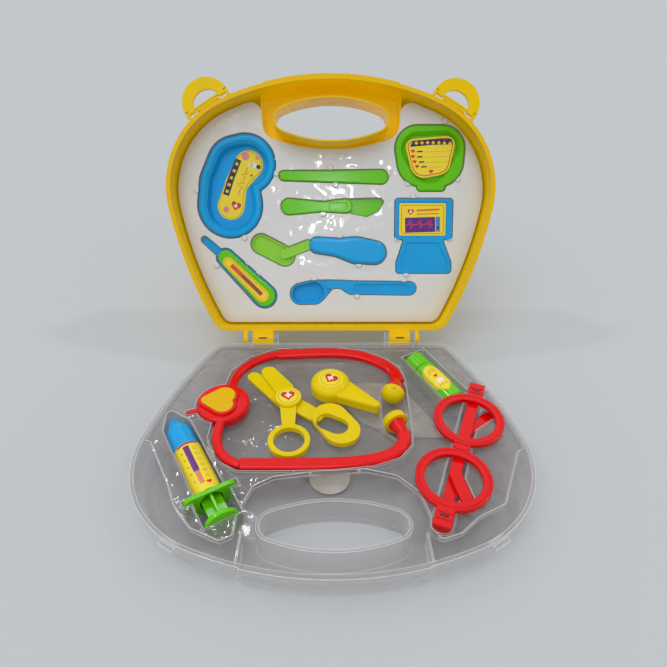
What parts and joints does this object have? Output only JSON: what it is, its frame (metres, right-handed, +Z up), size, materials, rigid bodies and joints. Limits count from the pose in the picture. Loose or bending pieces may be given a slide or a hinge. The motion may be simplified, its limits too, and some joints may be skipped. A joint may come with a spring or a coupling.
{
  "type": "toy doctor case",
  "caption": "Toy doctor's case, open: clear base and yellow lid on two rear hinges, ear-shaped latches, and moulded trays of plastic play instruments.",
  "frame": {"origin": "centre of the flat resting face under the base", "axes": "+X to the right along the hinge, -Y to the front where the handle is, +Z up"},
  "size_m": [0.26, 0.3341, 0.1988],
  "materials": {
    "clear": "clear glossy",
    "yellow": "glossy",
    "tray_white": "glossy vacuum-formed sheet",
    "tray_clear": "clear glossy vacuum-formed sheet",
    "toy_yellow": "glossy",
    "blue": "glossy",
    "green": "glossy",
    "red": "glossy",
    "label": "printed film",
    "paper": "paper"
  },
  "bodies": {
    "base": {"clear_base_shell": "clear", "base_tray": "tray_clear", "round_seal": "paper", "paper_leaflet": "paper"},
    "lid": {"yellow_lid_shell": "yellow", "lid_tray": "tray_white"},
    "left_latch": {"left_ear_latch": "yellow"},
    "right_latch": {"right_ear_latch": "yellow"},
    "dish": {"kidney_dish": "blue", "kidney_label": "label"},
    "tweezers": {"tweezers": "green"},
    "scalpel": {"scalpel": "green"},
    "mirror": {"mirror_head": "green", "mirror_handle": "blue"},
    "spoon": {"spoon": "blue"},
    "thermometer": {"thermometer_body": "blue", "thermometer_cover": "green", "thermometer_label": "label"},
    "badge": {"name_badge": "green", "badge_label": "label"},
    "monitor": {"monitor_body": "blue", "monitor_label": "label"},
    "stethoscope": {"stethoscope_chestpiece": "red", "heart_button": "toy_yellow", "upper_ear_tube": "red", "lower_ear_tube": "red", "upper_ear_cup": "toy_yellow", "lower_ear_cup": "toy_yellow"},
    "scissors": {"scissors_fixed_blade": "toy_yellow", "scissors_cap": "toy_yellow", "scissors_label": "label"},
    "scissor_blade": {"scissors_moving_blade": "toy_yellow"},
    "otoscope": {"otoscope_body": "toy_yellow", "otoscope_label": "label"},
    "syringe": {"syringe_barrel": "blue", "syringe_grip": "green", "syringe_label": "label"},
    "plunger": {"syringe_plunger": "green"},
    "bottle": {"medicine_bottle": "green", "bottle_label": "label"},
    "glasses": {"glasses_frame": "red"},
    "temple_upper": {"upper_temple": "red"},
    "temple_lower": {"lower_temple": "red"}
  },
  "joints": [
    {"name": "lid_hinge", "type": "hinge", "parent": "base", "child": "lid", "pos_m": [0, 0.105, 0.023], "axis": [-1, 0, 0], "range_deg": [-121.3, 0]},
    {"name": "left_latch_hinge", "type": "hinge", "parent": "lid", "child": "left_latch", "pos_m": [-0.09643, 0.20213, 0.17909], "axis": [-0.848, -0.2753, -0.4528], "range_deg": [-90, 0]},
    {"name": "right_latch_hinge", "type": "hinge", "parent": "lid", "child": "right_latch", "pos_m": [0.09643, 0.20213, 0.17909], "axis": [-0.848, 0.2753, 0.4528], "range_deg": [-90, 0]},
    {"name": "dish_lift", "type": "slide", "parent": "lid", "child": "dish", "axis": [0, -0.8545, 0.5195], "range_m": [0, 0.04]},
    {"name": "tweezers_lift", "type": "slide", "parent": "lid", "child": "tweezers", "axis": [0, -0.8545, 0.5195], "range_m": [0, 0.04]},
    {"name": "scalpel_lift", "type": "slide", "parent": "lid", "child": "scalpel", "axis": [0, -0.8545, 0.5195], "range_m": [0, 0.04]},
    {"name": "mirror_lift", "type": "slide", "parent": "lid", "child": "mirror", "axis": [0, -0.8545, 0.5195], "range_m": [0, 0.04]},
    {"name": "spoon_lift", "type": "slide", "parent": "lid", "child": "spoon", "axis": [0, -0.8545, 0.5195], "range_m": [0, 0.04]},
    {"name": "thermometer_lift", "type": "slide", "parent": "lid", "child": "thermometer", "axis": [0, -0.8545, 0.5195], "range_m": [0, 0.04]},
    {"name": "badge_lift", "type": "slide", "parent": "lid", "child": "badge", "axis": [0, -0.8545, 0.5195], "range_m": [0, 0.04]},
    {"name": "monitor_lift", "type": "slide", "parent": "lid", "child": "monitor", "axis": [0, -0.8545, 0.5195], "range_m": [0, 0.04]},
    {"name": "stethoscope_lift", "type": "slide", "parent": "base", "child": "stethoscope", "axis": [0, 0, 1], "range_m": [0, 0.04]},
    {"name": "scissors_lift", "type": "slide", "parent": "base", "child": "scissors", "axis": [0, 0, 1], "range_m": [0, 0.04]},
    {"name": "otoscope_lift", "type": "slide", "parent": "base", "child": "otoscope", "axis": [0, 0, 1], "range_m": [0, 0.04]},
    {"name": "syringe_lift", "type": "slide", "parent": "base", "child": "syringe", "axis": [0, 0, 1], "range_m": [0, 0.04]},
    {"name": "bottle_lift", "type": "slide", "parent": "base", "child": "bottle", "axis": [0, 0, 1], "range_m": [0, 0.04]},
    {"name": "scissor_pivot", "type": "hinge", "parent": "scissors", "child": "scissor_blade", "pos_m": [-0.032, 0.038, 0.02], "axis": [0, 0, -1], "range_deg": [-8, 25]},
    {"name": "plunger_slide", "type": "slide", "parent": "syringe", "child": "plunger", "axis": [0.4924, -0.8704, 0], "range_m": [-0.016, 0]},
    {"name": "glasses_lift", "type": "slide", "parent": "base", "child": "glasses", "axis": [0, 0, 1], "range_m": [0, 0.25]},
    {"name": "lower_temple_hinge", "type": "hinge", "parent": "glasses", "child": "temple_lower", "pos_m": [0.0627, -0.06748, 0.01745], "axis": [-0.933, 0.36, 0], "range_deg": [0, 90]},
    {"name": "upper_temple_hinge", "type": "hinge", "parent": "glasses", "child": "temple_upper", "pos_m": [0.1059, 0.04448, 0.02085], "axis": [0.933, -0.36, 0], "range_deg": [0, 24]}
  ],
  "couplings": [
    {"joint": "lower_temple_hinge", "follows": "glasses_lift", "rad_per_m": 6.28},
    {"joint": "upper_temple_hinge", "follows": "glasses_lift", "rad_per_m": 1.66}
  ]
}
